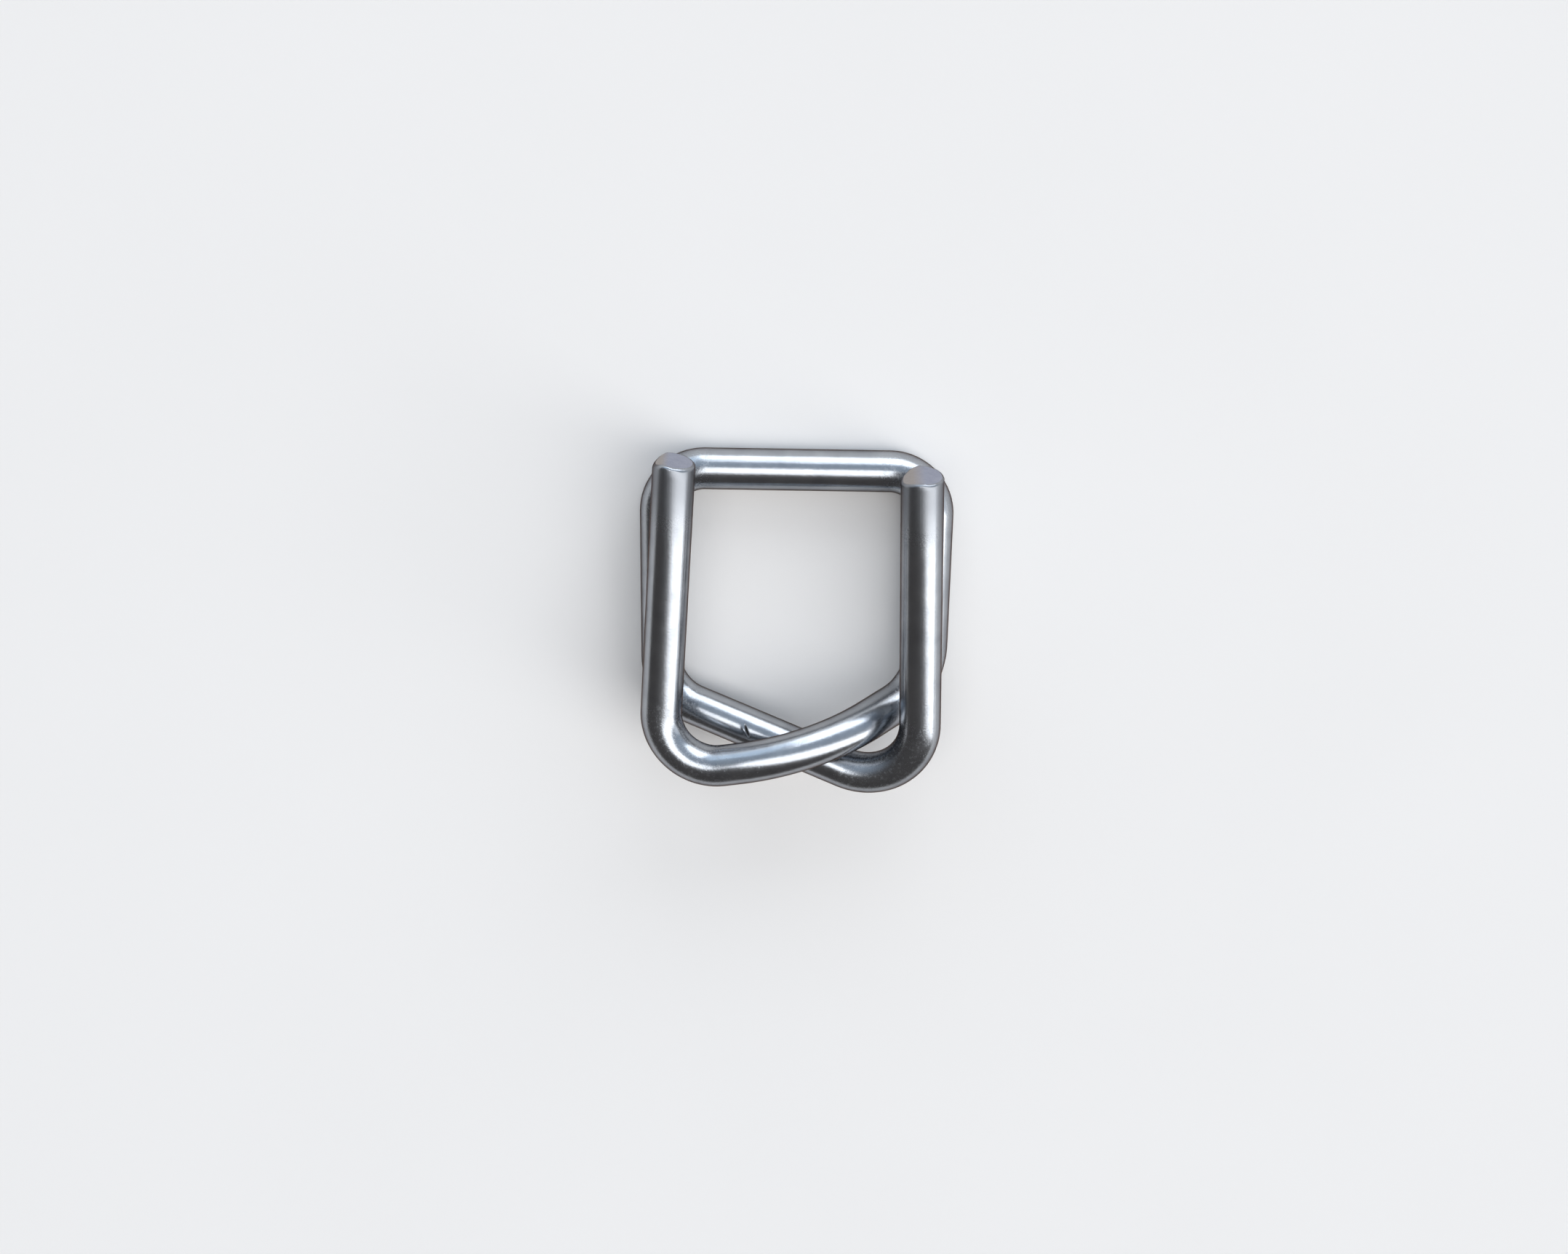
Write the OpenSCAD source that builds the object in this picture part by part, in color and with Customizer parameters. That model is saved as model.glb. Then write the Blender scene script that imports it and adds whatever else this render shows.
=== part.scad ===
// Strapping buckle, bent cold from one length of round zinc-plated steel wire.
// The bar and the two legs form a flat frame that lies on the ground.
// Each leg turns in at its foot and crosses below the window to the other side.
// There it turns up into a front prong, which stands above the opposite leg.
// Millimetres, +Z up, +Y towards the bar, origin under the middle of the buckle.

/* [Wire] */

// Diameter of the drawn wire
wire_d = 4.2; // [3.6:0.1:4.4]
// Extra diameter in the bends, where the former squeezes the wire
bend_swell = 0.04; // [0.04:0.01:0.1]

/* [Back frame] */

// Width between the centre lines of the two legs
frame_w = 27.6; // [26.6:0.1:30]
// Bend radius of the two corners beside the bar
corner_r = 4.5; // [3.6:0.1:6]
// Length of the left leg, from the bar down to the corner of its foot
left_leg_l = 24.2; // [23.4:0.1:24.8]
// Length of the right leg, from the bar down to the corner of its foot
right_leg_l = 23; // [22.2:0.1:23.6]
// Bend radius of the left foot
left_foot_r = 5.2; // [4:0.1:6.5]
// Bend radius of the right foot
right_foot_r = 5.8; // [4.5:0.1:6.2]

/* [Left prong] */

// Height of the left tip over the back frame
left_tip_rise = 6.8; // [6:0.1:8]
// Height of the left turn's corner over the back frame
left_turn_rise = 7.4; // [7:0.1:8.4]
// Distance that the left tip stands inside its leg's centre line
left_tip_in = 1.8; // [0.5:0.1:3]
// Height of the left tip beyond the bar's centre line
left_tip_up = 2.6; // [0.5:0.1:3.5]
// Distance that the left turn's corner stands inside its leg's centre line
left_turn_in = 0.05; // [0:0.05:1]
// Depth of the left turn's corner below the bar's centre line
left_turn_down = 30.3; // [29.4:0.1:31.5]
// Bend radius of the left turn
left_turn_r = 5.3; // [4.5:0.1:6]

/* [Right prong] */

// Height of the right tip over the back frame
right_tip_rise = 8.5; // [7.6:0.1:9]
// Height of the right turn's corner over the back frame
right_turn_rise = 7.3; // [7:0.1:7.6]
// Distance that the right tip stands inside its leg's centre line
right_tip_in = 1.8; // [0.5:0.1:3]
// Height of the right tip beyond the bar's centre line
right_tip_up = 2; // [0.5:0.1:3.5]
// Distance that the right turn's corner stands inside its leg's centre line
right_turn_in = 0.7; // [0:0.1:1]
// Depth of the right turn's corner below the bar's centre line
right_turn_down = 32.8; // [32.4:0.1:34]
// Bend radius of the right turn
right_turn_r = 6.1; // [5:0.1:6.6]

/* [Crossing] */

// Distance of the over strand's crest right of the middle
crest_x = 2; // [1.2:0.1:2.8]
// Depth of the over strand's crest below the bar's centre line
crest_down = 26.9; // [26.4:0.1:27.2]
// Height of the over strand's crest over the back frame
crest_rise = 9.9; // [9.7:0.1:10.6]
// Radius of the over strand's bow
crest_r = 17.6; // [15:0.1:19]

/* [Sheared ends] */

// Slope of the left end's face towards the front
left_face_front = 7; // [0:1:20]
// Slope of the left end's face towards the right
left_face_side = 10; // [0:1:20]
// Width of the edge that the shear drew over on the left end's left side
left_draw_w = 1.05; // [0.4:0.05:1.6]
// Slope of that edge on the left end
left_draw_slope = 38; // [25:1:50]
// Slope of the right end's face towards the front
right_face_front = 12; // [0:1:20]
// Slope of the right end's face towards the right
right_face_side = 3; // [0:1:20]
// Width of the edge that the shear drew over on the right end's left side
right_draw_w = 1.45; // [0.4:0.05:1.6]
// Slope of that edge on the right end
right_draw_slope = 30; // [25:1:50]

/* [Tool mark] */

// Distance of the pinch mark along the under strand, from the left foot's corner
mark_at = 10.2; // [8:0.1:10.6]
// Angle of the pinch mark round the strand, from its front towards the bar
mark_lean = 10; // [0:1:30]
// Slant of the pinch mark across the strand
mark_slant = 40; // [0:5:45]
// Depth of the pinch mark
mark_depth = 0.15; // [0.1:0.05:0.2]

/* [Hidden] */

$fn = 48;
wire_r = wire_d / 2;
half_w = frame_w / 2;
// Length of each straight that runs on inside the next bend
lap = 0.2;
// Length of each prong beyond the middle of its end face, before the shear
spare = wire_r;
// Size of the blocks that the shear takes away, clear of the bar behind
block = 1.5 * wire_d;
// Size of the square edge that pressed the pinch mark
mark_size = 3 * mark_depth;
// Length of that edge
mark_l = 0.7 * wire_d;
// Height of the wire's centre line in the back frame, which rests on its bends
rest_z = wire_r + bend_swell / 2;
// The wire's corners, from the left tip to the right tip, and its bend radius at each
corners = [
    [left_tip_in - half_w, left_tip_up, left_tip_rise],
    [left_turn_in - half_w, -left_turn_down, left_turn_rise],
    [crest_x, -crest_down, crest_rise],
    [half_w, -right_leg_l, 0],
    [half_w, 0, 0],
    [-half_w, 0, 0],
    [-half_w, -left_leg_l, 0],
    [half_w - right_turn_in, -right_turn_down, right_turn_rise],
    [half_w - right_tip_in, right_tip_up, right_tip_rise]
];
radii = [0, left_turn_r, crest_r, right_foot_r, corner_r, corner_r, left_foot_r, right_turn_r, 0];
left_turn = 1;
left_foot = 6;
right_turn = 7;
last = len(corners) - 1;

function unit(v) = v / norm(v);
// Direction of the wire from one corner to the next
function heading(i) = unit(corners[i + 1] - corners[i]);
// Angle that the wire turns through at a corner
function turn(i) = acos(heading(i - 1) * heading(i));
// Length that a bend takes off the straight on each side of its corner
function trim(i) = radii[i] * tan(turn(i) / 2);
function bend_start(i) = corners[i] - heading(i - 1) * trim(i);
function bend_end(i) = corners[i] + heading(i) * trim(i);
// Direction from the start of a bend to its centre
function inward(i) = cross(unit(cross(heading(i - 1), heading(i))), heading(i - 1));
function bend_centre(i) = bend_start(i) + inward(i) * radii[i];
// Lowest point of a bend's centre line along Y
function bend_low(i) = bend_centre(i)[1] - radii[i] * norm([inward(i)[1], heading(i - 1)[1]]);

// The origin lies midway between the highest end and the lowest turn
top_y = max(wire_r, left_tip_up + wire_r * sin(left_face_side), right_tip_up);
low_y = min(bend_low(left_turn), bend_low(right_turn)) - wire_r;
mid_y = (top_y + low_y) / 2;

// Sets what is drawn at the origin into a frame of three axes at a point
module place(x, y, z, at) {
    multmatrix([
        [x[0], y[0], z[0], at[0]],
        [x[1], y[1], z[1], at[1]],
        [x[2], y[2], z[2], at[2]],
        [0, 0, 0, 1]
    ])
        children();
}

// A straight length of wire from one point to another
module straight(from, to) {
    way = unit(to - from);
    translate(from)
        rotate([0, acos(way[2]), atan2(way[1], way[0])])
            cylinder(h = norm(to - from), r = wire_r);
}

// The bend at one corner of the wire
module bend(i) {
    out = -inward(i);
    way = heading(i - 1);
    place(out, way, cross(out, way), bend_centre(i))
        rotate_extrude(angle = turn(i), $fn = 160)
            translate([radii[i], 0])
                circle(r = wire_r + bend_swell / 2, $fn = 48);
}

// What the shear takes off a prong: all beyond its end face, and the drawn edge on its left
module sheared_off(tip, front, side, edge_w, edge_slope) {
    translate(tip)
        rotate([front, 0, -side]) {
            translate([-block / 2, 0, -block / 2])
                cube(block);
            translate([edge_w - wire_r, 0, 0])
                rotate([0, 0, edge_slope])
                    translate([-block / 2, 0, -block / 2])
                        cube(block);
        }
}

// The pinch mark that the former left on the front of the under strand
module tool_mark() {
    way = heading(left_foot);
    front = unit([0, 0, 1] - way * way[2]);
    out = front * cos(mark_lean) + cross(front, way) * sin(mark_lean);
    floor_at = corners[left_foot] + way * mark_at + out * (wire_r - mark_depth);
    place(way, cross(out, way), out, floor_at)
        rotate([0, 0, mark_slant])
            rotate([0, -45, 0])
                translate([0, -mark_l / 2, 0])
                    cube([mark_size, mark_l, mark_size]);
}

module buckle_wire() {
    color([0.72, 0.74, 0.77])
        translate([0, -mid_y, rest_z])
            difference() {
                union() {
                    straight(corners[0] - heading(0) * spare, bend_start(1) + heading(0) * lap);
                    for (i = [1 : last - 2])
                        straight(bend_end(i) - heading(i) * lap, bend_start(i + 1) + heading(i) * lap);
                    straight(
                        bend_end(right_turn) - heading(right_turn) * lap,
                        corners[last] + heading(right_turn) * spare
                    );
                    for (i = [1 : last - 1])
                        bend(i);
                }
                sheared_off(corners[0], left_face_front, left_face_side, left_draw_w, left_draw_slope);
                sheared_off(corners[last], right_face_front, right_face_side, right_draw_w, right_draw_slope);
                tool_mark();
            }
}

buckle_wire();
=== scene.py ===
"""Strapping buckle: one length of zinc-plated wire, drawn out, bent and sheared, on a pale studio floor."""

import logging
import math
from dataclasses import dataclass, field
from enum import Enum, IntEnum
from typing import Any, Callable, Optional

import bmesh
import bpy
import numpy as np
from mathutils import Euler, Matrix, Vector, noise


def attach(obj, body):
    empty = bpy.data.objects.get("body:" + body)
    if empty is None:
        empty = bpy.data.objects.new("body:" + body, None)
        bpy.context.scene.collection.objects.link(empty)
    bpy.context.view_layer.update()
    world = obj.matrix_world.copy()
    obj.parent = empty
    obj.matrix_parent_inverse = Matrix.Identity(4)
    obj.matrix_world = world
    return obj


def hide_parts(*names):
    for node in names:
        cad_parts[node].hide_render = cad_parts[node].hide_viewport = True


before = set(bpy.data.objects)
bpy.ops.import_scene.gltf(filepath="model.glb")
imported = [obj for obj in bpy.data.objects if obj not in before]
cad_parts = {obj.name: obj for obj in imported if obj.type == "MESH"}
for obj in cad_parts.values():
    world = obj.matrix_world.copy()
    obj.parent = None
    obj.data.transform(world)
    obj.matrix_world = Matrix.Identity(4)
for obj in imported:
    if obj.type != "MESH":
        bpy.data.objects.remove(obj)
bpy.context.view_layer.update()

MM = 0.001
Point = tuple[float, float, float]
Span = tuple[float, float]
log = logging.getLogger("buckle")


def linear(colour: str) -> tuple[float, float, float, float]:
    """Turns a colour into what the shaders take, by the sRGB curve.

    Args:
        colour: sRGB hex value, such as "#D0D4D8".

    Returns:
        Linear red, green, blue and an alpha of 1.
    """
    shares = [int(colour[i : i + 2], 16) / 255 for i in (1, 3, 5)]
    red, green, blue = [c / 12.92 if c <= 0.04045 else ((c + 0.055) / 1.055) ** 2.4 for c in shares]
    return red, green, blue, 1.0


def add_node(
    tree: bpy.types.NodeTree, kind: str, inputs: Optional[dict[Any, Any]] = None, **settings: Any
) -> bpy.types.Node:
    """Adds a node to a tree, with its settings and links.

    Args:
        tree: The material's or world's nodes.
        kind: Blender's name for the node.
        inputs: Value of, or link into, each named or numbered input.
        **settings: Properties of the node itself.

    Returns:
        The new node.
    """
    node = tree.nodes.new(kind)
    for name, value in settings.items():
        setattr(node, name, value)
    for name, value in (inputs or {}).items():
        if isinstance(value, bpy.types.NodeSocket):
            tree.links.new(value, node.inputs[name])
        else:
            node.inputs[name].default_value = value
    return node


def new_material(name: str) -> tuple[bpy.types.Material, bpy.types.NodeTree]:
    """Makes a material with no nodes yet.

    Args:
        name: What the real material is and how it was made.

    Returns:
        The material and its node tree.
    """
    material = bpy.data.materials.new(name)
    material.use_nodes = True
    material.node_tree.nodes.clear()
    return material, material.node_tree


class Mix(IntEnum):
    """Numbers of the Mix node's sockets for colours, whose names are those of its other sockets too."""

    SHARE = 0
    RESULT = 2
    FIRST = 6
    SECOND = 7


class Skin(IntEnum):
    """The wire's two surfaces, in the order of its material slots."""

    PLATE = 0
    SHEARED = 1


class End(Enum):
    """The wire's two free ends, as places in a list of its corners or stretches."""

    LEFT = 0
    RIGHT = -1


@dataclass(frozen=True)
class ZincPlate:
    """Bright zinc electroplated on drawn steel wire.

    A blue-white mirror, broken up along the wire by the lines of the drawing die, with fine grain in it.
    It is rubbed and pitted where the bending tools held it, and worn to a satin at the prongs' ends.
    Each span gives the two levels of a pattern between which its effect fades in or out.
    """

    bright: str = "#B0B4B9"
    dull: str = "#989CA2"
    satin: str = "#8E9196"
    pit: str = "#6B6866"
    # Dark of the pressed slit: dirt and painted shade
    slit_dirt_and_shade: str = "#524E4C"
    # Dark brown tint of grazing reflections: a painted dark rim along the wire's outline
    edge: str = "#725A49"
    smoothest: float = 0.17
    grain_rough: float = 0.1
    scuff_rough: float = 0.13
    worn_rough: float = 0.12
    slit_dirt_and_shade_rough: float = 0.4
    line_mm: float = 0.16
    line_run_mm: float = 5.0
    line_depth_mm: float = 0.003
    grain_mm: float = 0.16
    grain_depth_mm: float = 0.005
    cloud_mm: float = 2.2
    cloud_span: Span = (0.3, 0.75)
    dull_share: float = 0.8
    rub_mm: float = 0.35
    rub_span: Span = (0.52, 0.68)
    scuff_depth_mm: float = 0.0022
    pit_gap_mm: float = 0.9
    pit_span: Span = (0.06, 0.13)
    pit_patch_span: Span = (0.6, 0.7)
    pit_depth_mm: float = 0.006

    def build(self) -> bpy.types.Material:
        """Builds the plate's nodes.

        Returns:
            The material.
        """
        material, tree = new_material("bright_zinc_plated_drawn_steel")
        place = add_node(tree, "ShaderNodeAttribute", attribute_name="unbent").outputs["Vector"]
        bent = add_node(tree, "ShaderNodeAttribute", attribute_name="bent").outputs["Fac"]
        pressed = add_node(tree, "ShaderNodeAttribute", attribute_name="pressed").outputs["Fac"]
        worn = add_node(tree, "ShaderNodeAttribute", attribute_name="worn").outputs["Fac"]
        across = 1 / (self.line_mm * MM)
        scale = (across, across, 1 / (self.line_run_mm * MM))
        drawn = add_node(tree, "ShaderNodeMapping", {"Vector": place, "Scale": scale}).outputs["Vector"]
        # Die lines, finer on real wire, are drawn coarse enough to show
        lines = add_node(
            tree, "ShaderNodeTexNoise", {"Vector": drawn, "Scale": 1.0, "Detail": 3.0}
        ).outputs["Fac"]
        grain = add_node(
            tree, "ShaderNodeTexNoise", {"Vector": place, "Scale": 1 / (self.grain_mm * MM), "Detail": 2.0}
        ).outputs["Fac"]
        cloud = add_node(
            tree, "ShaderNodeTexNoise", {"Vector": place, "Scale": 1 / (self.cloud_mm * MM), "Detail": 3.0}
        ).outputs["Fac"]
        rub = add_node(
            tree,
            "ShaderNodeTexNoise",
            {"Vector": place, "Scale": 1 / (self.rub_mm * MM), "Detail": 4.0, "Roughness": 0.7},
        ).outputs["Fac"]
        low, high = self.rub_span
        rubbed = add_node(
            tree, "ShaderNodeMapRange", {"Value": rub, "From Min": low, "From Max": high}
        ).outputs["Result"]
        scuff = add_node(tree, "ShaderNodeMath", {0: rubbed, 1: bent}, operation="MULTIPLY").outputs[0]
        spots = add_node(
            tree, "ShaderNodeTexVoronoi", {"Vector": place, "Scale": 1 / (self.pit_gap_mm * MM)}
        ).outputs["Distance"]
        low, high = self.pit_span
        pits = add_node(
            tree,
            "ShaderNodeMapRange",
            {"Value": spots, "From Min": low, "From Max": high, "To Min": 1.0, "To Max": 0.0},
        ).outputs["Result"]
        # Pits come in patches, in the bends and just beside them
        low, high = self.pit_patch_span
        patch = add_node(
            tree, "ShaderNodeMapRange", {"Value": cloud, "From Min": low, "From Max": high}
        ).outputs["Result"]
        pitted = add_node(tree, "ShaderNodeMath", {0: pits, 1: patch}, operation="MULTIPLY").outputs[0]
        pitted = add_node(tree, "ShaderNodeMath", {0: pitted, 1: bent}, operation="MULTIPLY").outputs[0]
        low, high = self.cloud_span
        tone = add_node(
            tree,
            "ShaderNodeMapRange",
            {"Value": cloud, "From Min": low, "From Max": high, "To Max": self.dull_share},
        ).outputs["Result"]
        colour = add_node(
            tree,
            "ShaderNodeMix",
            {Mix.SHARE: tone, Mix.FIRST: linear(self.bright), Mix.SECOND: linear(self.dull)},
            data_type="RGBA",
        ).outputs[Mix.RESULT]
        # Over the plate come the satin of the ends, the pits, and the slit that the former pressed, painted
        # dark: dirt and painted shade in it
        for share, tint in ((worn, self.satin), (pitted, self.pit), (pressed, self.slit_dirt_and_shade)):
            colour = add_node(
                tree,
                "ShaderNodeMix",
                {Mix.SHARE: share, Mix.FIRST: colour, Mix.SECOND: linear(tint)},
                data_type="RGBA",
            ).outputs[Mix.RESULT]
        rough: Any = self.smoothest
        for cause, extra in (
            (grain, self.grain_rough),
            (scuff, self.scuff_rough),
            (worn, self.worn_rough),
            (pressed, self.slit_dirt_and_shade_rough),
        ):
            rough = add_node(
                tree, "ShaderNodeMath", {0: cause, 1: extra, 2: rough}, operation="MULTIPLY_ADD"
            ).outputs[0]
        relief: dict[str, Any] = {}
        for height, depth_mm, sunk in (
            (lines, self.line_depth_mm, False),
            (grain, self.grain_depth_mm, False),
            (scuff, self.scuff_depth_mm, False),
            (pitted, self.pit_depth_mm, True),
        ):
            bump = {"Height": height, "Strength": 1.0, "Distance": depth_mm * MM, **relief}
            relief = {"Normal": add_node(tree, "ShaderNodeBump", bump, invert=sunk).outputs[0]}
        shader = add_node(
            tree,
            "ShaderNodeBsdfPrincipled",
            {
                "Base Color": colour,
                "Metallic": 1.0,
                "Roughness": rough,
                # Grazing reflections are tinted dark brown: a painted dark rim along the outline
                "Specular Tint": linear(self.edge),
                **relief,
            },
        )
        add_node(tree, "ShaderNodeOutputMaterial", {"Surface": shader.outputs[0]})
        return material


@dataclass(frozen=True)
class ShearedSteel:
    """Bare steel where the shear went through the wire.

    A matt lilac grey with the fine torn grain of the break.
    """

    face: str = "#9FA1AD"
    torn: str = "#9092A0"
    # Painted warm reflection on the rolled-over edge
    warm_reflection_tint: str = "#A39C98"
    smoothest: float = 0.48
    grain_rough: float = 0.15
    grain_mm: float = 0.25
    grain_depth_mm: float = 0.03
    tear_mm: float = 0.9
    tear_span: Span = (0.3, 0.75)
    torn_share: float = 0.7

    def build(self) -> bpy.types.Material:
        """Builds the end faces' nodes.

        Returns:
            The material.
        """
        material, tree = new_material("sheared_bare_steel")
        place = add_node(tree, "ShaderNodeTexCoord").outputs["Object"]
        painted_warm_reflection = add_node(tree, "ShaderNodeAttribute", attribute_name="painted_warm_reflection").outputs["Fac"]
        grain = add_node(
            tree, "ShaderNodeTexNoise", {"Vector": place, "Scale": 1 / (self.grain_mm * MM), "Detail": 3.0}
        ).outputs["Fac"]
        tear = add_node(
            tree, "ShaderNodeTexNoise", {"Vector": place, "Scale": 1 / (self.tear_mm * MM), "Detail": 2.0}
        ).outputs["Fac"]
        low, high = self.tear_span
        tone = add_node(
            tree,
            "ShaderNodeMapRange",
            {"Value": tear, "From Min": low, "From Max": high, "To Max": self.torn_share},
        ).outputs["Result"]
        colour = add_node(
            tree,
            "ShaderNodeMix",
            {Mix.SHARE: tone, Mix.FIRST: linear(self.face), Mix.SECOND: linear(self.torn)},
            data_type="RGBA",
        ).outputs[Mix.RESULT]
        # The edge that the shear rolled over is painted a warmer grey: a painted reflection of warm
        # surroundings
        colour = add_node(
            tree,
            "ShaderNodeMix",
            {Mix.SHARE: painted_warm_reflection, Mix.FIRST: colour, Mix.SECOND: linear(self.warm_reflection_tint)},
            data_type="RGBA",
        ).outputs[Mix.RESULT]
        rough = add_node(
            tree,
            "ShaderNodeMath",
            {0: grain, 1: self.grain_rough, 2: self.smoothest},
            operation="MULTIPLY_ADD",
        ).outputs[0]
        relief = add_node(
            tree, "ShaderNodeBump", {"Height": grain, "Strength": 1.0, "Distance": self.grain_depth_mm * MM}
        ).outputs[0]
        shader = add_node(
            tree,
            "ShaderNodeBsdfPrincipled",
            {"Base Color": colour, "Metallic": 1.0, "Roughness": rough, "Normal": relief},
        )
        add_node(tree, "ShaderNodeOutputMaterial", {"Surface": shader.outputs[0]})
        return material


@dataclass(frozen=True)
class FloorBoard:
    """Smooth matt painted board: a pale even ground that takes a soft shadow."""

    paint: str = "#EFECE9"
    mottle: str = "#ECE9E6"
    mottle_mm: float = 40.0
    roughness: float = 0.9

    def build(self) -> bpy.types.Material:
        """Builds the floor's nodes.

        Returns:
            The material.
        """
        material, tree = new_material("matt_painted_board")
        place = add_node(tree, "ShaderNodeTexCoord").outputs["Object"]
        cloud = add_node(
            tree, "ShaderNodeTexNoise", {"Vector": place, "Scale": 1 / (self.mottle_mm * MM), "Detail": 2.0}
        ).outputs["Fac"]
        colour = add_node(
            tree,
            "ShaderNodeMix",
            {Mix.SHARE: cloud, Mix.FIRST: linear(self.paint), Mix.SECOND: linear(self.mottle)},
            data_type="RGBA",
        ).outputs[Mix.RESULT]
        shader = add_node(
            tree, "ShaderNodeBsdfPrincipled", {"Base Color": colour, "Roughness": self.roughness}
        )
        add_node(tree, "ShaderNodeOutputMaterial", {"Surface": shader.outputs[0]})
        return material


@dataclass(frozen=True)
class Stretch:
    """A straight or a bend of the wire's centre line, in metres.

    The side vector marks one line along the wire, and goes round every bend with it.
    A straight has no radius and no axis.
    """

    start: Vector
    heading: Vector
    side: Vector
    length: float
    before: float
    radius: float = 0.0
    axis: Optional[Vector] = None

    @property
    def angle(self) -> float:
        """Angle of a bend, in radians."""
        return self.length / self.radius

    @property
    def centre(self) -> Vector:
        """Centre of a bend."""
        return self.start + self.axis.cross(self.heading) * self.radius

    def finish(self) -> tuple[Vector, Vector]:
        """Gives the end point of a bend, and the side vector there."""
        turn = Matrix.Rotation(self.angle, 3, self.axis)
        return self.centre + turn @ (self.start - self.centre), turn @ self.side

    def unbend(self, points: np.ndarray) -> tuple[np.ndarray, np.ndarray]:
        """Lays points of the wire back into the straight wire that it was bent from.

        Args:
            points: Places on the wire, one row each.

        Returns:
            Their places in the straight wire, and how far each is from this stretch's centre line.
        """
        heading = np.array(self.heading)
        side = np.array(self.side)
        if not self.radius:
            off = points - np.array(self.start)
            run = off @ heading
            across = off - run[:, None] * heading
            sides = np.broadcast_to(side, points.shape)
            headings = np.broadcast_to(heading, points.shape)
        else:
            axis = np.array(self.axis)
            inward = np.cross(axis, heading)
            off = points - np.array(self.centre)
            turn = np.arctan2(off @ heading, -(off @ inward))
            cos, sin = np.cos(turn)[:, None], np.sin(turn)[:, None]
            run = turn * self.radius
            across = off - self.radius * (sin * heading - cos * inward)
            headings = cos * heading + sin * inward
            sides = cos * side + sin * np.cross(axis, side) + (1 - cos) * axis * (axis @ side)
        beyond = np.maximum(0, np.maximum(-run, run - self.length))
        first = np.einsum("ij,ij->i", across, sides)
        second = np.einsum("ij,ij->i", across, np.cross(headings, sides))
        places = np.stack([first, second, run + self.before], axis=1)
        return places, np.hypot(beyond, np.linalg.norm(across, axis=1))


@dataclass(frozen=True)
class Shear:
    """How the shear left one end of the wire, in millimetres and degrees.

    The face slopes to the front and to the side. Its left edge is drawn over at a steeper slope, in a rounded
    fold of so many steps, and its rim is rounded.
    """

    front: float
    side: float
    drawn_w: float
    drawn_slope: float
    drawn_r: float
    rim: float
    steps: int = 12


@dataclass(frozen=True)
class PinchMark:
    """The slit that the former pinched into the under strand, in millimetres and degrees.

    It lies along the strand from one of the wire's corners, the left foot. Its metal stands up as a lip
    beside the end nearer the bar, and the slit and its shoulder are painted dark: dirt and painted shade.
    At each half-width (w) and half-length (l), the form has fallen to about a third.
    """

    corner: int = 6
    at: float = 10.2
    lean: float = 10.0
    slant: float = 40.0
    depth: float = 0.15
    slit_w: float = 0.08
    slit_l: float = 0.6
    lip_h: float = 0.05
    lip_w: float = 0.17
    lip_l: float = 0.45
    lip_across: float = -0.25
    lip_along: float = 0.2
    # Spread of the slit's painted dark: dirt and painted shade
    dirt_and_shade_w: float = 0.13
    dirt_and_shade_l: float = 0.62
    dirt_and_shade_across: float = 0.03
    dirt_and_shade_strength: float = 1.3
    # Mesh round the mark: rings along the strand, and a finer patch on its front
    ring_reach: float = 1.6
    ring_cuts: int = 7
    patch_along: float = 1.0
    patch_round: float = 1.1
    patch_out: Span = (1.5, 3.0)
    patch_cuts: int = 2
    # How far off the round wire a vertex may lie, and what share of an edge has to run along the strand
    skin: float = 0.05
    parallel: float = 0.9

    def rise(self, across: float, along: float) -> float:
        """Gives how far the mark lifts the wire's skin.

        Args:
            across: Distance from the slit's middle line.
            along: Distance along that line from the slit's middle.

        Returns:
            The rise, which is negative in the slit.
        """
        slit = math.exp(-((across / self.slit_w) ** 2) - (along / self.slit_l) ** 4)
        lip_off = ((across - self.lip_across) / self.lip_w) ** 2
        lip = math.exp(-lip_off - ((along - self.lip_along) / self.lip_l) ** 2)
        return self.lip_h * lip - self.depth * slit

    def dirt_and_shade(self, across: float, along: float) -> float:
        """Gives how dark the wire is painted at a place in and beside the slit, from 0 to 1: dirt and painted
        shade.
        """
        off = ((across - self.dirt_and_shade_across) / self.dirt_and_shade_w) ** 2 + (along / self.dirt_and_shade_l) ** 4
        return min(1.0, self.dirt_and_shade_strength * math.exp(-off))


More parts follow.
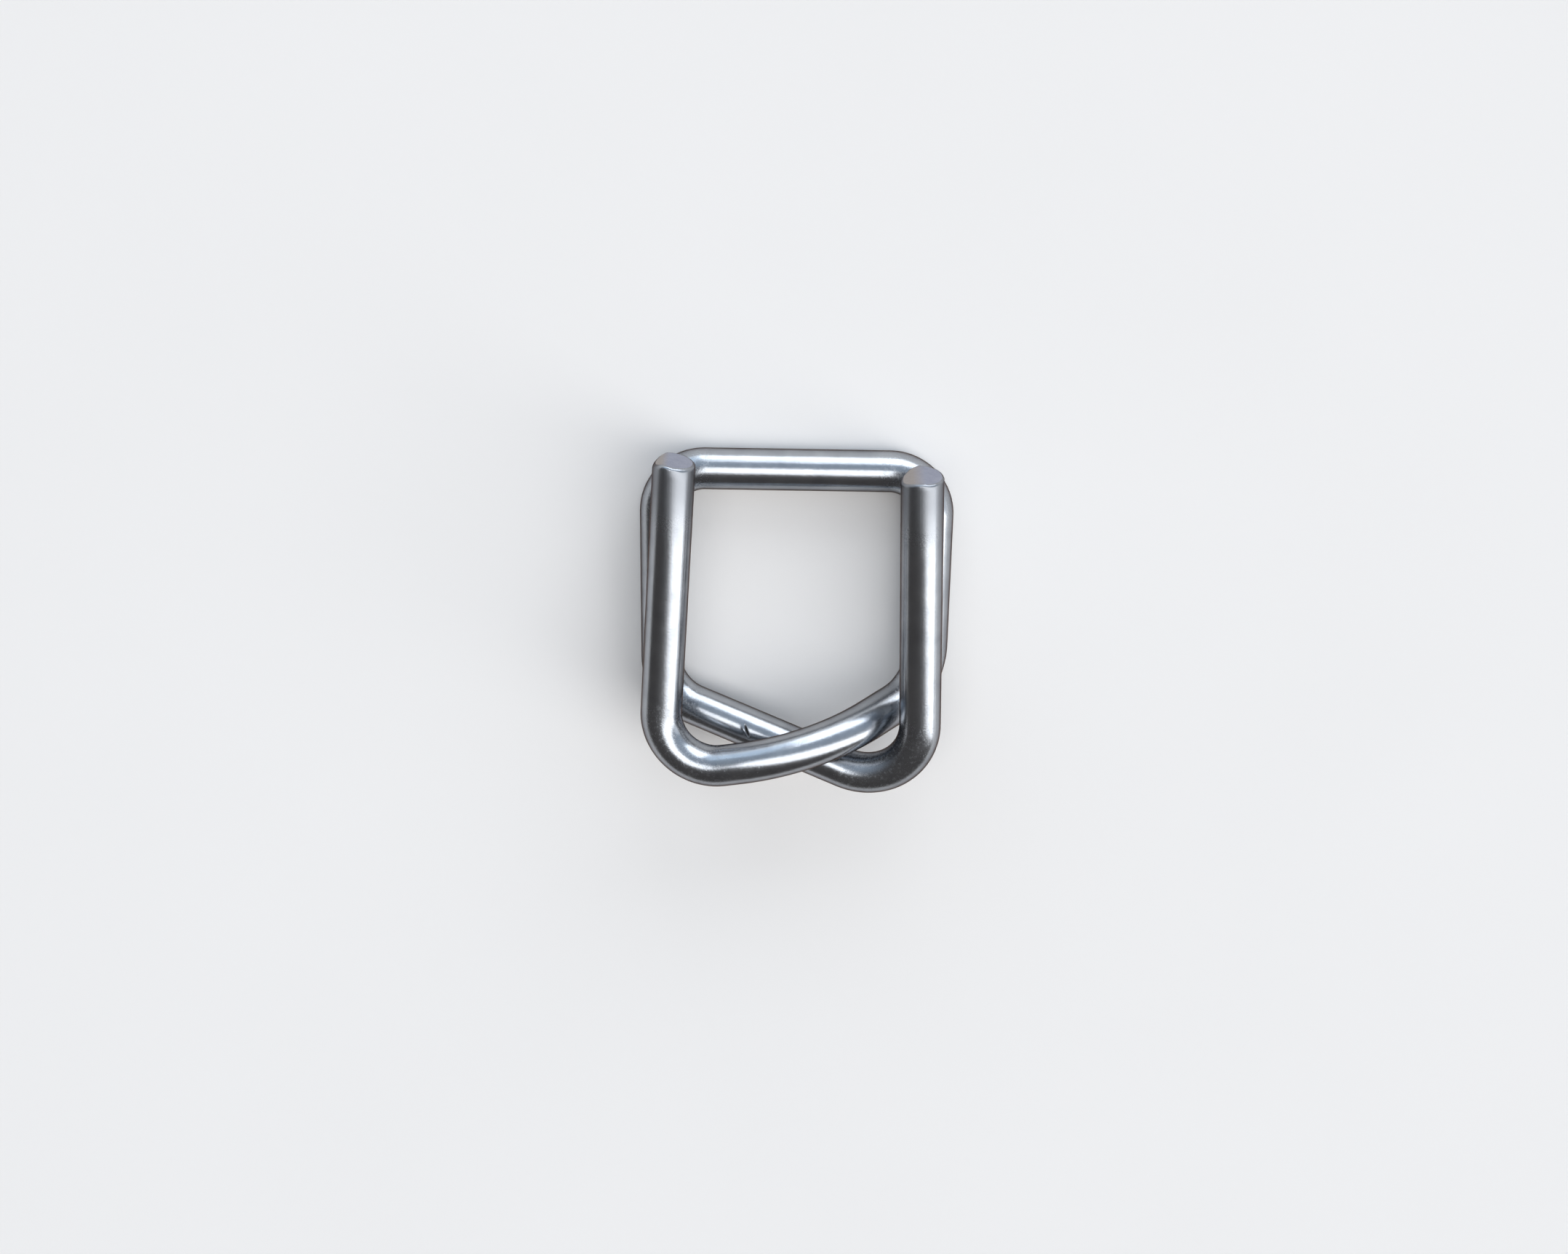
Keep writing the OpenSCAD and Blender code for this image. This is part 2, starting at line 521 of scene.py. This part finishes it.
@dataclass
class BuckleWire:
    """The buckle's one wire, in millimetres and degrees.

    Its corners run from the left end to the right end. They are measured from the middle of the bar's centre
    line, and the origin lays them in the part's frame.
    """

    wire_d: float = 4.2
    corners: tuple[Point, ...] = (
        (-12.0, 2.6, 6.8),
        (-13.75, -30.3, 7.4),
        (2.0, -26.9, 9.9),
        (13.8, -23.0, 0.0),
        (13.8, 0.0, 0.0),
        (-13.8, 0.0, 0.0),
        (-13.8, -24.2, 0.0),
        (13.1, -32.8, 7.3),
        (12.0, 2.0, 8.5),
    )
    radii: tuple[float, ...] = (0, 5.3, 17.6, 5.8, 4.5, 4.5, 5.2, 6.1, 0)
    left_shear: Shear = Shear(front=7, side=10, drawn_w=1.05, drawn_slope=38, drawn_r=0.35, rim=0.3)
    right_shear: Shear = Shear(front=12, side=3, drawn_w=1.45, drawn_slope=30, drawn_r=0.6, rim=0.22)
    mark: PinchMark = PinchMark()
    origin: Point = (0.0, 14.857449, 2.12)
    # Mesh: sides of the tube, gaps of its rings, steps of the rims, rings of the end faces
    sides: int = 96
    ring_gap: float = 0.8
    bend_ring_gap: float = 0.45
    rim_steps: int = 5
    face_rings: int = 12
    merge_gap: float = 0.001
    smooth_deg: float = 35.0
    # What counts as an end: its depth, its reach in wire diameters, and how flat its face is
    end_depth: float = 1.0
    end_reach: float = 0.6
    face_depth: float = 0.005
    # Wear: burr on the rims, satin of the ends, scuffs of the bends; and a painted warm reflection on the
    # drawn edges
    burr: float = 0.06
    burr_gap: float = 0.55
    painted_warm_reflection_start: float = 0.25
    worn_l: float = 8.0
    worn_strength: float = 1.4
    rim_wear: float = 0.25
    rim_w: float = 0.3
    tight_r: float = 6.0
    bend_fade: float = 2.0
    path: list[Stretch] = field(init=False)

    def __post_init__(self) -> None:
        """Sets the centre line out as straights and bends."""
        self.path = self.set_out()

    def point(self, i: int) -> Vector:
        """Gives a corner of the wire in the part's frame, in metres."""
        return (Vector(self.corners[i]) + Vector(self.origin)) * MM

    def set_out(self) -> list[Stretch]:
        """Sets the centre line out from the left end to the right end.

        Returns:
            The straights and bends by turns: the straight after corner i is number 2 * i.
        """
        spots = [self.point(i) for i in range(len(self.corners))]
        ways = [(b - a).normalized() for a, b in zip(spots, spots[1:])]
        at = spots[0] + ways[0] * self.left_shear.rim * MM
        side = ways[0].orthogonal().normalized()
        path: list[Stretch] = []
        before = 0.0
        for i, way in enumerate(ways):
            last = i + 1 == len(ways)
            turn = 0.0 if last else way.angle(ways[i + 1])
            radius = self.radii[i + 1] * MM
            goal = spots[i + 1] - way * (self.right_shear.rim * MM if last else radius * math.tan(turn / 2))
            run = Stretch(at, way, side, (goal - at).length, before)
            path.append(run)
            before += run.length
            if last:
                break
            axis = way.cross(ways[i + 1]).normalized()
            bend = Stretch(goal, way, side, radius * turn, before, radius, axis)
            path.append(bend)
            before += bend.length
            at, side = bend.finish()
        return path

    def draw_out(self) -> bpy.types.Object:
        """Draws the wire out from its left end, and bends it at each corner in turn.

        Returns:
            The tube, open at both ends.
        """
        first = self.path[0]
        outer = self.wire_d / 2 * MM
        bpy.ops.object.select_all(action="DESELECT")
        bpy.ops.mesh.primitive_circle_add(
            vertices=self.sides,
            radius=outer,
            location=first.start,
            rotation=first.heading.to_track_quat("Z", "Y").to_euler(),
        )
        wire = bpy.context.object
        wire.name = wire.data.name = "bent_wire"
        bpy.ops.object.transform_apply(location=True, rotation=True, scale=True)
        bpy.ops.object.mode_set(mode="EDIT")
        for stretch in self.path:
            if stretch.radius:
                steps = math.ceil(stretch.angle * (stretch.radius + outer) / (self.bend_ring_gap * MM))
                # With no window, spin turns the other way
                bpy.ops.mesh.spin(
                    steps=steps, angle=-stretch.angle, center=stretch.centre, axis=stretch.axis
                )
            else:
                move = stretch.heading * stretch.length
                bpy.ops.mesh.extrude_region_move(TRANSFORM_OT_translate={"value": move})
        bpy.ops.mesh.select_all(action="SELECT")
        bpy.ops.mesh.remove_doubles(threshold=self.merge_gap * MM)
        bpy.ops.object.mode_set(mode="OBJECT")
        return wire

    @staticmethod
    def pick(wire: bpy.types.Object, kind: str, test: Callable[[Any], bool]) -> int:
        """Selects part of the mesh in edit mode, and nothing else.

        Args:
            wire: The wire, in edit mode.
            kind: "edges" or "faces".
            test: Says of each one if it is picked.

        Returns:
            How many were picked.
        """
        bpy.ops.mesh.select_all(action="DESELECT")
        bpy.ops.mesh.select_mode(type={"edges": "EDGE", "faces": "FACE"}[kind])
        mesh = bmesh.from_edit_mesh(wire.data)
        mesh.normal_update()
        picked = [x for x in getattr(mesh, kind) if test(x)]
        for x in picked:
            x.select_set(True)
        mesh.select_flush_mode()
        bmesh.update_edit_mesh(wire.data)
        return len(picked)

    def shear(self, wire: bpy.types.Object, end: End) -> None:
        """Closes one end, rounds its rim, and lays it on the shear's slant with its left edge rolled over.

        Args:
            wire: The drawn-out tube.
            end: Which end.
        """
        shear = self.left_shear if end is End.LEFT else self.right_shear
        run = self.path[end.value]
        out = -run.heading if end is End.LEFT else run.heading
        tip = self.point(end.value)
        tilt = Euler((math.radians(shear.front), 0, -math.radians(shear.side))).to_matrix()
        slope = math.radians(shear.drawn_slope)
        bow = shear.drawn_r / math.tan(slope / 2)
        fold = shear.drawn_w - self.wire_d / 2 + shear.drawn_r
        across = tilt @ Vector((1, 0, 0))
        planes = []
        for step in range(shear.steps + 1):
            lean = slope * step / shear.steps
            off = Vector((fold - bow * math.sin(lean), bow * (math.cos(lean) - 1), 0))
            planes.append((tip + tilt @ off * MM, tilt @ Vector((-math.sin(lean), math.cos(lean), 0))))

        def height(vert: bmesh.types.BMVert) -> float:
            """Gives how far out from the tip's square plane a vertex lies, in millimetres."""
            return (vert.co - tip).dot(out) / MM

        def at_end(vert: bmesh.types.BMVert) -> bool:
            """Tells if a vertex is on this end."""
            reach = self.end_reach * self.wire_d * MM
            return abs(height(vert)) < self.end_depth and (vert.co - tip).length < reach

        def on_face(vert: bmesh.types.BMVert) -> bool:
            """Tells if a vertex is on this end's flat face, inside the rim."""
            return at_end(vert) and height(vert) > -self.face_depth

        bpy.ops.object.mode_set(mode="EDIT")
        self.pick(wire, "edges", lambda e: e.is_boundary and all(at_end(v) for v in e.verts))
        radius, rise = self.wire_d / 2, -shear.rim
        turns = np.linspace(0, math.pi / 2, self.rim_steps + 1)[1:]
        rings = [(1 - math.cos(turn), math.sin(turn)) for turn in turns]
        goals = [(self.wire_d / 2 - shear.rim * inset, shear.rim * (up - 1)) for inset, up in rings]
        shares = np.linspace(1, 0, self.face_rings + 2)[1:-1]
        goals += [(goals[-1][0] * share, 0.0) for share in shares]
        for next_radius, next_rise in goals:
            move = out * (next_rise - rise) * MM
            bpy.ops.mesh.extrude_region_move(TRANSFORM_OT_translate={"value": move})
            centre = tip + out * next_rise * MM
            bpy.ops.transform.resize(value=(next_radius / radius,) * 3, center_override=centre)
            radius, rise = next_radius, next_rise
        bpy.ops.mesh.edge_face_add()
        self.pick(wire, "faces", lambda f: all(on_face(v) for v in f.verts))
        wire.active_material_index = Skin.SHEARED
        bpy.ops.object.material_slot_assign()
        mesh = bmesh.from_edit_mesh(wire.data)
        painted_warm_reflection = mesh.verts.layers.float.get("painted_warm_reflection") or mesh.verts.layers.float.new("painted_warm_reflection")
        for vert in filter(at_end, mesh.verts):
            spot = vert.co - out * height(vert) * MM
            if on_face(vert):
                # A painted warm reflection fades in across the rolled-over edge
                beyond = (planes[0][0] - spot).dot(across) / (2 * shear.drawn_r * MM)
                vert[painted_warm_reflection] = min(1.0, max(0.0, self.painted_warm_reflection_start + beyond))
            else:
                vert.co += out * self.burr * MM * noise.noise(vert.co / (self.burr_gap * MM))
            vert.co += out * min((at - spot).dot(normal) / out.dot(normal) for at, normal in planes)
        bmesh.update_edit_mesh(wire.data)
        bpy.ops.object.mode_set(mode="OBJECT")

    def ring_up(self, wire: bpy.types.Object) -> None:
        """Divides the straights into rings, so that the finish can fade along them.

        Args:
            wire: The sheared wire.
        """
        bpy.ops.object.mode_set(mode="EDIT")
        while self.pick(wire, "edges", lambda e: e.calc_length() > self.ring_gap * MM):
            bpy.ops.mesh.subdivide(number_cuts=1)
        bpy.ops.mesh.select_all(action="SELECT")
        bpy.ops.mesh.normals_make_consistent(inside=False)
        bpy.ops.object.mode_set(mode="OBJECT")

    def press_mark(self, wire: bpy.types.Object) -> None:
        """Presses the former's pinch mark into the front of the under strand.

        Args:
            wire: The sheared wire.
        """
        mark = self.mark
        way = self.path[2 * mark.corner].heading
        front = (Vector((0, 0, 1)) - way * way.z).normalized()
        lean = math.radians(mark.lean)
        out = front * math.cos(lean) + front.cross(way) * math.sin(lean)
        round_it = out.cross(way)
        centre = self.point(mark.corner) + way * mark.at * MM
        slant = math.radians(mark.slant)
        lowest, highest = mark.patch_out

        def off(vert: bmesh.types.BMVert) -> Point:
            """Gives how far from the centre a vertex lies along, round and out, in millimetres."""
            gap = (vert.co - centre) / MM
            return gap.dot(way), gap.dot(round_it), gap.dot(out)

        def on_skin(vert: bmesh.types.BMVert) -> bool:
            """Tells if a vertex is on the under strand, beside the mark."""
            x, y, z = off(vert)
            return abs(x) < mark.ring_reach and abs(math.hypot(y, z) - self.wire_d / 2) < mark.skin

        def long_edge(edge: bmesh.types.BMEdge) -> bool:
            """Tells if an edge runs along the under strand, beside the mark."""
            run = abs((edge.verts[0].co - edge.verts[1].co).dot(way))
            return all(on_skin(v) for v in edge.verts) and run > mark.parallel * edge.calc_length()

        def in_patch(vert: bmesh.types.BMVert) -> bool:
            """Tells if a vertex is on the front of the strand, close to the mark."""
            x, y, z = off(vert)
            return abs(x) < mark.patch_along and abs(y) < mark.patch_round and lowest < z < highest

        bpy.ops.object.mode_set(mode="EDIT")
        self.pick(wire, "edges", long_edge)
        bpy.ops.mesh.subdivide(number_cuts=mark.ring_cuts)
        self.pick(wire, "faces", lambda f: all(in_patch(v) for v in f.verts))
        bpy.ops.mesh.subdivide(number_cuts=mark.patch_cuts)
        self.pick(wire, "faces", lambda f: len(f.verts) > 4 and f.material_index == Skin.PLATE)
        bpy.ops.mesh.quads_convert_to_tris(quad_method="BEAUTY", ngon_method="BEAUTY")
        mesh = bmesh.from_edit_mesh(wire.data)
        pressed = mesh.verts.layers.float.new("pressed")
        for vert in filter(in_patch, mesh.verts):
            x, y, z = off(vert)
            across = x * math.cos(slant) + y * math.sin(slant)
            along = y * math.cos(slant) - x * math.sin(slant)
            radius = self.wire_d / 2 + mark.rise(across, along)
            vert.co = centre + (way * x + (round_it * y + out * z).normalized() * radius) * MM
            # Paints the slit and its shoulder dark: dirt and painted shade
            vert[pressed] = mark.dirt_and_shade(across, along)
        bmesh.update_edit_mesh(wire.data)
        bpy.ops.object.mode_set(mode="OBJECT")

    def mark_wire(self, wire: bpy.types.Object) -> None:
        """Stores each vertex's place in the straight wire, its bend and its wear, for the finishes.

        Args:
            wire: The finished wire.
        """
        mesh = wire.data
        points = np.empty(len(mesh.vertices) * 3)
        mesh.vertices.foreach_get("co", points)
        points = points.reshape(-1, 3)
        laid = [stretch.unbend(points) for stretch in self.path]
        nearest = np.argmin([far for _, far in laid], axis=0)
        places = np.choose(nearest[:, None], [place for place, _ in laid])
        bent = np.zeros(len(points))
        for stretch in self.path:
            if stretch.radius:
                half = stretch.length / 2
                gap = np.maximum(0, np.abs(places[:, 2] - stretch.before - half) - half)
                share = min(1.0, self.tight_r * MM / stretch.radius)
                bent = np.maximum(bent, share * np.clip(1 - gap / (self.bend_fade * MM), 0, 1))
        whole = self.path[-1].before + self.path[-1].length
        from_end = np.minimum(places[:, 2], whole - places[:, 2])
        worn = np.clip(self.worn_strength * (1 - from_end / (self.worn_l * MM)), 0, 1)
        # The rims stay brighter than the satin behind them
        worn *= self.rim_wear + (1 - self.rim_wear) * np.clip(from_end / (self.rim_w * MM), 0, 1)
        mesh.attributes.new("worn", "FLOAT", "POINT").data.foreach_set("value", worn)
        mesh.attributes.new("unbent", "FLOAT_VECTOR", "POINT").data.foreach_set("vector", places.ravel())
        mesh.attributes.new("bent", "FLOAT", "POINT").data.foreach_set("value", bent)

    def build(self) -> bpy.types.Object:
        """Builds the wire and dresses it.

        Returns:
            The wire, in place of its solid.
        """
        wire = self.draw_out()
        wire.data.materials.append(ZincPlate().build())
        wire.data.materials.append(ShearedSteel().build())
        for end in End:
            self.shear(wire, end)
        self.ring_up(wire)
        self.press_mark(wire)
        self.mark_wire(wire)
        bpy.ops.object.shade_smooth_by_angle(angle=math.radians(self.smooth_deg))
        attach(wire, "root")
        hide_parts("buckle_wire")
        return wire


@dataclass(frozen=True)
class Softbox:
    """A flat lamp behind white cloth. Its reach is given as the lamp is seen from the buckle.

    Directions are degrees from straight up, towards +X and towards +Y, and the distance is in metres.
    """

    name: str
    reach_from: Span
    reach_to: Span
    width_deg: float
    radiance: float
    colour: str
    distance: float = 6.0

    @staticmethod
    def direction(lean: Span) -> Vector:
        """Gives the unit vector of a direction.

        Args:
            lean: Degrees from straight up, towards +X and towards +Y.

        Returns:
            The vector.
        """
        off = math.radians(math.hypot(*lean))
        turn = math.atan2(lean[1], lean[0])
        return Vector((math.sin(off) * math.cos(turn), math.sin(off) * math.sin(turn), math.cos(off)))

    def build(self) -> bpy.types.Object:
        """Hangs the lamp, facing the buckle.

        Returns:
            The lamp.
        """
        first, second = self.direction(self.reach_from), self.direction(self.reach_to)
        back = (first + second).normalized()
        long_side = (second - first).normalized()
        data = bpy.data.lights.new(self.name, "AREA")
        data.shape = "RECTANGLE"
        data.size = 2 * self.distance * math.tan(first.angle(second) / 2)
        data.size_y = 2 * self.distance * math.tan(math.radians(self.width_deg) / 2)
        data.color = linear(self.colour)[:3]
        data.energy = self.radiance * math.pi * data.size * data.size_y
        lamp = bpy.data.objects.new(self.name, data)
        bpy.context.scene.collection.objects.link(lamp)
        turn = Matrix((long_side, back.cross(long_side), back)).transposed().to_4x4()
        lamp.matrix_world = Matrix.Translation(back * self.distance) @ turn
        lamp.visible_camera = False
        return lamp


@dataclass
class Studio:
    """Floor, lamps, room and camera.

    The room's shades fade over two spans: how far a direction points to the light side, and how high.
    """

    floor_m: float = 40.0
    room_near: str = "#565352"
    room_far: str = "#BAC8D8"
    light_side: Point = (0.25, 0.97, 0.0)
    light_span: Span = (-0.3, 0.6)
    cove: str = "#E4E3E2"
    cove_span: Span = (0.06, 0.18)
    softboxes: tuple[Softbox, ...] = (
        Softbox("overhead_softbox", (-23, 14), (70, -29), width_deg=30, radiance=2.9, colour="#FFFFFF"),
        Softbox("bar_side_softbox", (-8, 73), (56, 69), width_deg=50, radiance=2.9, colour="#F4F9FF"),
        Softbox("left_sky_panel", (-52, 68), (-10, 68), width_deg=36, radiance=1.0, colour="#C6DCF0"),
        Softbox("right_side_panel", (72, 16), (72, -44), width_deg=26, radiance=0.8, colour="#FAFCFF"),
    )
    aim_mm: Point = (-1.0986, -1.786, 2.718)
    distance_mm: float = 200.0
    tilt_deg: float = 20.0
    roll_deg: float = -0.929
    lens_mm: float = 44.446
    sensor_mm: float = 36.0
    clip_m: Span = (0.01, 50.0)

    def lay_floor(self) -> bpy.types.Object:
        """Lays the floor that the buckle lies on.

        Returns:
            The floor.
        """
        bpy.ops.object.select_all(action="DESELECT")
        bpy.ops.mesh.primitive_plane_add(size=self.floor_m)
        floor = bpy.context.object
        floor.name = "floor"
        floor.data.materials.append(FloorBoard().build())
        return floor

    def paint_room(self) -> None:
        """Gives the room its soft grey, lighter beyond the bar and to the right, with a pale cove below."""
        world = bpy.data.worlds.new("studio_room")
        bpy.context.scene.world = world
        world.use_nodes = True
        tree = world.node_tree
        tree.nodes.clear()
        way = add_node(tree, "ShaderNodeTexCoord").outputs["Generated"]
        toward = add_node(
            tree, "ShaderNodeVectorMath", {0: way, 1: self.light_side}, operation="DOT_PRODUCT"
        ).outputs["Value"]
        rise = add_node(tree, "ShaderNodeSeparateXYZ", {"Vector": way}).outputs["Z"]
        lit, above = [
            add_node(
                tree,
                "ShaderNodeMapRange",
                {"Value": level, "From Min": low, "From Max": high},
                interpolation_type="SMOOTHSTEP",
            ).outputs["Result"]
            for level, (low, high) in ((toward, self.light_span), (rise, self.cove_span))
        ]
        colour = add_node(
            tree,
            "ShaderNodeMix",
            {Mix.SHARE: lit, Mix.FIRST: linear(self.room_near), Mix.SECOND: linear(self.room_far)},
            data_type="RGBA",
        ).outputs[Mix.RESULT]
        colour = add_node(
            tree,
            "ShaderNodeMix",
            {Mix.SHARE: above, Mix.FIRST: linear(self.cove), Mix.SECOND: colour},
            data_type="RGBA",
        ).outputs[Mix.RESULT]
        glow = add_node(tree, "ShaderNodeBackground", {"Color": colour, "Strength": 1.0})
        add_node(tree, "ShaderNodeOutputWorld", {"Surface": glow.outputs[0]})

    def set_camera(self) -> bpy.types.Object:
        """Sets the camera at the photograph's viewing angle.

        Returns:
            The camera.
        """
        tilt, roll = math.radians(self.tilt_deg), math.radians(self.roll_deg)
        back = Vector((0, math.sin(tilt), math.cos(tilt)))
        up = Vector((math.sin(roll), math.cos(roll) * math.cos(tilt), -math.cos(roll) * math.sin(tilt)))
        turn = Matrix((up.cross(back), up, back)).transposed().to_4x4()
        data = bpy.data.cameras.new("camera")
        data.lens = self.lens_mm
        data.sensor_width = self.sensor_mm
        data.clip_start, data.clip_end = self.clip_m
        camera = bpy.data.objects.new("camera", data)
        bpy.context.scene.collection.objects.link(camera)
        camera.matrix_world = Matrix.Translation((Vector(self.aim_mm) + back * self.distance_mm) * MM) @ turn
        bpy.context.scene.camera = camera
        return camera

    def build(self) -> list[bpy.types.Object]:
        """Sets the studio up.

        Returns:
            Floor, camera and lamps.
        """
        bpy.context.scene.view_settings.view_transform = "Standard"
        self.paint_room()
        return [self.lay_floor(), self.set_camera(), *[box.build() for box in self.softboxes]]


def main() -> None:
    """Builds the buckle and its studio, and reports each piece."""
    logging.basicConfig(level=logging.INFO, format="%(name)s: %(message)s")
    wire = BuckleWire().build()
    log.info("%s: %d vertices, %d faces", wire.name, len(wire.data.vertices), len(wire.data.polygons))
    for item in Studio().build():
        log.info("%s: %s", item.name, item.type.lower())


if __name__ == "__main__":
    main()
